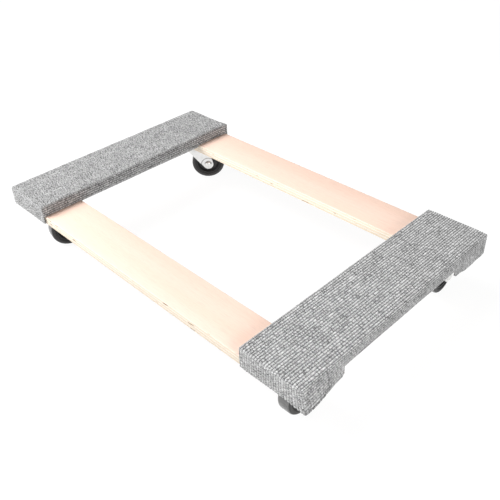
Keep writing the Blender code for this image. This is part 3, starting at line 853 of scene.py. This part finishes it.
def kingpin_mesh():
    head = PIN_LOW.z
    crown_bottom = CROWN_TOP - FORK_SHEET
    profile = [
        (0, head + 0.0002),
        (PIN_RADIUS, head),
        (0.0083, head + 0.0007),
        (0.0090, head + 0.0020),
        (0.0086, crown_bottom - GAP),
        (PIN_RADIUS, crown_bottom - GAP),
        (PIN_RADIUS, PLATE_TOP - 0.0010),
        (0.0085, PLATE_TOP - 0.0010),
        (0.0085, PLATE_TOP - 0.0001),
        (0, PLATE_TOP),
    ]
    return turned("kingpin", softened(profile, 0.0006), 48)


def balls_mesh():
    """The race's loose balls."""
    radius = (RING_HIGH.z - RING_LOW.z) / 2
    pitch = (RING_HIGH.x - RING_LOW.x) / 2 - radius - 0.0012
    count = int(math.tau * pitch / (2 * radius + 0.0004))
    form = bmesh.new()
    level = (RING_LOW.z + RING_HIGH.z) / 2
    for i in range(count):
        turn = math.tau * i / count
        place = Matrix.Translation((pitch * math.cos(turn), pitch * math.sin(turn), level))
        bmesh.ops.create_icosphere(form, subdivisions=3, radius=radius, matrix=place)
    mesh = bpy.data.meshes.new("balls")
    form.to_mesh(mesh)
    form.free()
    return mesh


def fork_edges(height):
    """Where the fork's back and front edges lie at a height, seen from the side."""
    reach = height - WHEEL_RADIUS
    edges = []
    for side, crown in ((-1, -FORK_BACK), (1, FORK_FRONT)):
        dx, dz = crown - SWIVEL_OFFSET, CROWN_TOP - WHEEL_RADIUS
        length = math.hypot(dx, dz)
        turn = math.atan2(dz, dx) - side * math.acos(FORK_FOOT / length)
        touch = (SWIVEL_OFFSET + FORK_FOOT * math.cos(turn), FORK_FOOT * math.sin(turn))
        if reach <= touch[1]:
            edges.append(SWIVEL_OFFSET + side * math.sqrt(max(0.0, FORK_FOOT**2 - reach**2)))
        else:
            share = (reach - touch[1]) / (dz - touch[1])
            edges.append(touch[0] + (crown - touch[0]) * share)
    return edges


def fork_path():
    """The bent sheet's outer face, seen end on, from one foot to the other: (y, z) points."""
    outside = FORK_INSIDE + FORK_SHEET
    foot = WHEEL_RADIUS - FORK_FOOT
    foot_steps, leg_steps, bend_steps, crown_steps = 12, 64, 8, 5
    path = []
    for k in range(foot_steps + 1):
        path.append((outside, foot + FORK_FOOT * (1 - math.cos(math.pi / 2 * k / foot_steps))))
    knee = path[-1][1]
    bend = CROWN_TOP - FORK_BEND
    for k in range(1, leg_steps + 1):
        path.append((outside, knee + (bend - knee) * k / leg_steps))
    for k in range(1, bend_steps + 1):
        turn = math.pi / 2 * k / bend_steps
        drop = FORK_BEND * (1 - math.sin(turn))
        path.append((outside - FORK_BEND * (1 - math.cos(turn)), CROWN_TOP - drop))
    for k in range(1, crown_steps + 1):
        path.append(((outside - FORK_BEND) * (1 - k / crown_steps), CROWN_TOP))
    return path + [(-y, z) for y, z in reversed(path[:-1])]


def fork_point(y, z, share):
    """A point of the fork's outer face, share of the way from its back edge, and its painted shade.

    A leg stands out by a step beyond a round about the axle. Shade is painted along the upper
    half of that step, and in a crescent just above the axle bolt's head.
    """
    back, front = fork_edges(z)
    if z < WHEEL_RADIUS:
        share = 0.5 - 0.5 * math.cos(math.pi * share)
    x = back + (front - back) * share
    away = math.hypot(x - SWIVEL_OFFSET, z - WHEEL_RADIUS)
    bend, fade = CROWN_TOP - FORK_BEND, 0.012
    lift = line = ring = 0.0
    if z < bend:
        lift = FORK_STEP * smooth((away - FORK_STEP_RADIUS + 0.001) / 0.002)
        lift *= 1 - smooth((z - bend + fade) / fade)
    # painted shade: a dark line along the upper half of the step, and a crescent above the bolt's
    # head
    if WHEEL_RADIUS < z < bend:
        line = math.exp(-(((away - FORK_STEP_RADIUS) / 0.0010) ** 2))
    if z > WHEEL_RADIUS + 0.002:
        ring = math.exp(-(((away - HEAD_RADIUS - 0.0006) / 0.0008) ** 2))
    side = y + math.copysign(lift, y) if abs(y) > 1e-6 else 0.0
    return (x, side, z), max(line, ring)


def fork_mesh():
    """One bent sheet: the crown, and two legs that step in to a round foot about the axle."""
    steps = 40
    path = fork_path()
    form = bmesh.new()
    # painted shade for each point, which the metal material darkens by
    shade_layer = form.verts.layers.float.new("painted_shade")
    verts = []
    for y, z in path:
        for k in range(steps + 1):
            point, painted_shade = fork_point(y, z, k / steps)
            vert = form.verts.new(point)
            vert[shade_layer] = painted_shade
            verts.append(vert)
    width = steps + 1
    for row in range(len(path) - 1):
        for k in range(steps):
            a = row * width + k
            form.faces.new([verts[i] for i in (a, a + 1, a + 1 + width, a + width)])
    bmesh.ops.remove_doubles(form, verts=form.verts, dist=1e-6)
    bmesh.ops.recalc_face_normals(form, faces=form.faces)
    top = max(form.faces, key=lambda f: f.calc_center_median().z)
    if top.normal.z < 0:
        bmesh.ops.reverse_faces(form, faces=form.faces)
    mesh = bpy.data.meshes.new("fork_strip")
    form.to_mesh(mesh)
    form.free()
    strip = add_object("fork_strip", mesh, smooth=None)
    sheet = strip.modifiers.new("sheet", "SOLIDIFY")
    sheet.thickness = FORK_SHEET
    sheet.offset = -1.0
    solid = applied(strip)
    pin_hole, axle_hole = 0.0055, 0.0042
    pin = turned("pin_hole", [(0, 0.07), (pin_hole, 0.07), (pin_hole, 0.1), (0, 0.1)], 48)
    axle = [(0, -0.05), (axle_hole, -0.05), (axle_hole, 0.05), (0, 0.05)]
    return bevelled(cut(solid, pin, on_axle(turned("axle_hole", axle, 48))), 0.0004, 2, 50)


def on_axle(mesh):
    """A piece turned about Z, laid along the axle with its +Z end towards the bolt's head."""
    axle = Matrix.Translation((SWIVEL_OFFSET, 0, WHEEL_RADIUS))
    mesh.transform(axle @ Matrix.Rotation(math.pi / 2, 4, "X"))
    return mesh


def tyre_mesh():
    inside, outside, half = RIM_RADIUS + 0.0001, WHEEL_RADIUS, TREAD_HALF
    profile = [(inside, -RIM_HALF + 0.0002), (inside, RIM_HALF - 0.0002)]
    profile += [(inside + 0.0008, RIM_HALF - 0.0002), (inside + 0.0016, RIM_HALF + 0.0010)]
    profile += [(inside + 0.0024, half - 0.0002)]
    profile += arc((outside - TREAD_ROUND, half - TREAD_ROUND), TREAD_ROUND, 90, 0, 8)
    mirrored = [(r, -z) for r, z in reversed(profile[2:])]
    mesh = turned("tyre", profile + mirrored, 128, closed=True)
    worn = mesh.attributes.new("worn", "FLOAT", "POINT")
    for vertex, wear in zip(mesh.vertices, worn.data):
        wear.value = smooth((math.hypot(vertex.co.x, vertex.co.y) - outside + 0.0016) / 0.0012)
    return on_axle(mesh)


def wheel_core_mesh():
    bore = AXLE_RADIUS + GAP + SLEEVE_WALL + GAP
    hub, rim, web = HUB_HALF, RIM_HALF, 0.0045
    half = [
        (bore, hub),
        (0.0090, hub),
        (0.0096, hub - 0.0012),
        (0.0106, web + 0.0012),
        (0.0120, web),
        (0.0216, web),
        (0.0228, web + 0.0014),
        (0.0246, rim - 0.0022),
        (0.0252, rim - 0.0006),
        (0.0258, rim),
        (RIM_RADIUS - 0.0010, rim),
        (RIM_RADIUS, rim - 0.0012),
    ]
    profile = softened(half + [(r, -z) for r, z in reversed(half)], 0.0005, 2, closed=True)
    return on_axle(turned("wheel_core", profile, 128, closed=True))


def sleeve_mesh():
    inside, half = AXLE_RADIUS + GAP, FORK_INSIDE - 0.0001
    outside = inside + SLEEVE_WALL
    profile = [(inside, -half), (outside, -half), (outside, half), (inside, half)]
    return on_axle(turned("axle_sleeve", softened(profile, 0.0003, 2, closed=True), 48, closed=True))


def bolt_mesh():
    """The axle bolt: a low round head, a shank, and a thread where it comes out of the fork."""
    seat = FORK_INSIDE + FORK_SHEET + 0.0001
    top = seat + 0.0042
    end = -(FORK_INSIDE + FORK_SHEET + 2 * GAP + NUT_HEIGHT + 0.0020)
    profile = [
        (0, top),
        (0.0046, top - 0.0001),
        (0.0064, top - 0.0006),
        (0.0072, top - 0.0016),
        (HEAD_RADIUS, seat + 0.0004),
        (0.0072, seat),
        (AXLE_RADIUS, seat),
    ]
    profile = softened(profile, 0.0006)
    thread = -(FORK_INSIDE + FORK_SHEET)
    while thread > end + 0.0009:
        profile += [(AXLE_RADIUS, thread), (AXLE_RADIUS - 0.0005, thread - THREAD_PITCH / 2)]
        thread -= THREAD_PITCH
    profile += [(AXLE_RADIUS - 0.0007, end), (0, end)]
    return on_axle(turned("axle_bolt", profile, 48))


def nut_mesh():
    low = -(FORK_INSIDE + FORK_SHEET + 0.0001 + NUT_HEIGHT)
    high = low + NUT_HEIGHT
    corner = NUT_ACROSS_FLATS / 2 / math.cos(math.radians(30))
    bore = AXLE_RADIUS + 0.0001
    profile = [
        (bore + 0.0004, low),
        (0.0061, low),
        (corner, low + 0.0008),
        (corner, high - 0.0008),
        (0.0061, high),
        (bore + 0.0004, high),
        (bore, high - 0.0004),
        (bore, low + 0.0004),
    ]

    def hexed(radius, height):
        return 1.0 if radius > 0.0065 else 0.0

    return on_axle(turned("axle_nut", profile, 48, closed=True, hexed=hexed))


def screw_mesh():
    """A plate screw: a plain shank, a flange against the plate, and a hexagonal head."""
    shank, seat, bottom = 0.0026, PLATE_BOTTOM - 0.0001, SCREW_LOW.z
    washer = seat - 0.0010
    corner = SCREW_ACROSS_FLATS / 2 / math.cos(math.radians(30))
    profile = [
        (0, SCREW_HIGH.z),
        (shank, SCREW_HIGH.z - 0.004),
        (shank, seat),
        (0.0060, seat),
        (0.0062, seat - 0.0003),
        (0.0060, washer),
        (corner + 0.0002, washer - 0.0001),
        (corner, washer - 0.0003),
        (corner, bottom + 0.0006),
        (0.0045, bottom),
        (0, bottom),
    ]

    def hexed(radius, height):
        return 1.0 if height < washer - 0.0002 and radius > 0.0046 else 0.0

    return turned("plate_screw", profile, 48, hexed=hexed)


def make_casters(materials):
    sheet, bright, oiled, plastic, rubber = materials
    fixed = {
        "mount_plate": (plate_mesh(), sheet, "zinc_sheet"),
        "kingpin": (kingpin_mesh(), bright, "zinc_bright"),
    }
    swivelling = {
        "fork": (fork_mesh(), sheet, "zinc_sheet"),
        "axle_sleeve": (sleeve_mesh(), oiled, "ball_steel"),
        "axle_bolt": (bolt_mesh(), bright, "zinc_bright"),
        "axle_nut": (nut_mesh(), bright, "zinc_bright"),
    }
    rolling = {
        "wheel_core": (wheel_core_mesh(), plastic, "core_plastic"),
        "tyre": (tyre_mesh(), rubber, "tyre_rubber"),
    }
    balls = {"ball_ring": (balls_mesh(), oiled, "ball_steel")}
    screw = screw_mesh()
    for caster in CASTERS:
        pin, turn = swivel_of(caster)
        mount = Matrix.Translation((pin.x, pin.y, 0))
        trailing = mount @ Matrix.Rotation(turn, 4, "Z")
        groups = (
            (fixed, mount, "root"),
            (balls, mount, f"{caster}_race"),
            (swivelling, trailing, f"{caster}_swivel"),
            (rolling, trailing, f"{caster}_wheel"),
        )
        for pieces, place, body in groups:
            for kind, (mesh, material, slot) in pieces.items():
                add_caster_piece(caster, kind, mesh, material, place, body)
        for number in range(1, 5):
            kind = f"plate_screw_{number}"
            low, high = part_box(f"{caster}_{kind}")
            place = Matrix.Translation(((low.x + high.x) / 2, (low.y + high.y) / 2, 0))
            place = place @ Matrix.Rotation(math.radians(17 * number), 4, "Z")
            add_caster_piece(caster, kind, screw, bright, place, "root")


def add_caster_piece(caster, kind, mesh, material, place, body):
    copy = mesh.copy()
    copy.transform(place)
    piece = add_object(f"{caster}_{kind}_detail", copy, material, smooth=38)
    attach(piece, body)
    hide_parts(f"{caster}_{kind}")


# Camera, light and floor


def make_camera():
    """The camera looks down along the rails from beyond the front pad's right-hand end."""
    azimuth, elevation, roll = (math.radians(v) for v in (47.00, 36.45, -2.86))
    back = Vector((
        math.sin(azimuth) * math.cos(elevation),
        -math.cos(azimuth) * math.cos(elevation),
        math.sin(elevation),
    ))
    target = Vector((0.1186, DECK_Y - 0.0666, DECK_TOP))
    right = Vector((0, 0, 1)).cross(back).normalized()
    up = back.cross(right)
    rolled_right = right * math.cos(roll) + up * math.sin(roll)
    rolled_up = up * math.cos(roll) - right * math.sin(roll)
    camera = bpy.data.cameras.new("camera")
    camera.sensor_width = 36
    camera.lens = 46.05
    holder = bpy.data.objects.new("camera", camera)
    bpy.context.scene.collection.objects.link(holder)
    turn = Matrix((rolled_right, rolled_up, back)).transposed().to_4x4()
    turn.translation = target + back * 1.0611
    holder.matrix_world = turn
    bpy.context.scene.camera = holder


def make_light(name, place, size, power):
    lamp = bpy.data.lights.new(name, "AREA")
    lamp.shape = "SQUARE"
    lamp.size = size
    lamp.energy = power
    holder = bpy.data.objects.new(name, lamp)
    bpy.context.scene.collection.objects.link(holder)
    holder.location = place
    aim = Vector((0, DECK_Y, DECK_TOP)) - Vector(place)
    holder.rotation_mode = "QUATERNION"
    holder.rotation_quaternion = aim.to_track_quat("-Z", "Y")


def make_stage():
    form = bmesh.new()
    bmesh.ops.create_grid(form, x_segments=1, y_segments=1, size=8.0)
    mesh = bpy.data.meshes.new("floor")
    form.to_mesh(mesh)
    form.free()
    floor = add_object("floor", mesh, floor_material())
    world = bpy.data.worlds.new("studio")
    world.use_nodes = True
    sky = world.node_tree.nodes["Background"]
    sky.inputs["Color"].default_value = (1, 1, 1, 1)
    sky.inputs["Strength"].default_value = 0.20
    bpy.context.scene.world = world
    bpy.context.scene.view_settings.view_transform = "Standard"
    make_light("key", (-2.2, -2.4, 5.0), 3.0, 345)
    make_light("side", (-1.3, -0.3, 1.3), 0.6, 12)
    make_light("card", (-0.85, -0.9, 0.45), 0.4, 4)
    make_light("fill", (1.4, -0.5, 0.7), 0.6, 10)


make_camera()
make_stage()
plywood = plywood_material()
make_board("right_rail_board", "rail_right", plywood)
make_board("left_rail_board", "rail_left", plywood)
for end in ("front", "rear"):
    make_board(f"{end}_cross_board", f"cross_board_{end}", plywood, corner=0.012)
carpet = carpet_material()
for end in ("front", "rear"):
    make_carpet(end, carpet)
make_casters((
    metal_material("zinc_sheet", (0.84, 0.84, 0.83), 0.30, 0.10),
    metal_material("zinc_bright", (0.82, 0.82, 0.80), 0.22, 0.08),
    metal_material("oiled_steel", (0.52, 0.51, 0.50), 0.28, 0.15),
    black_material("core_plastic", 0.012, 0.38, 0.10),
    black_material("tyre_rubber", 0.024, 0.46, 0.25),
))
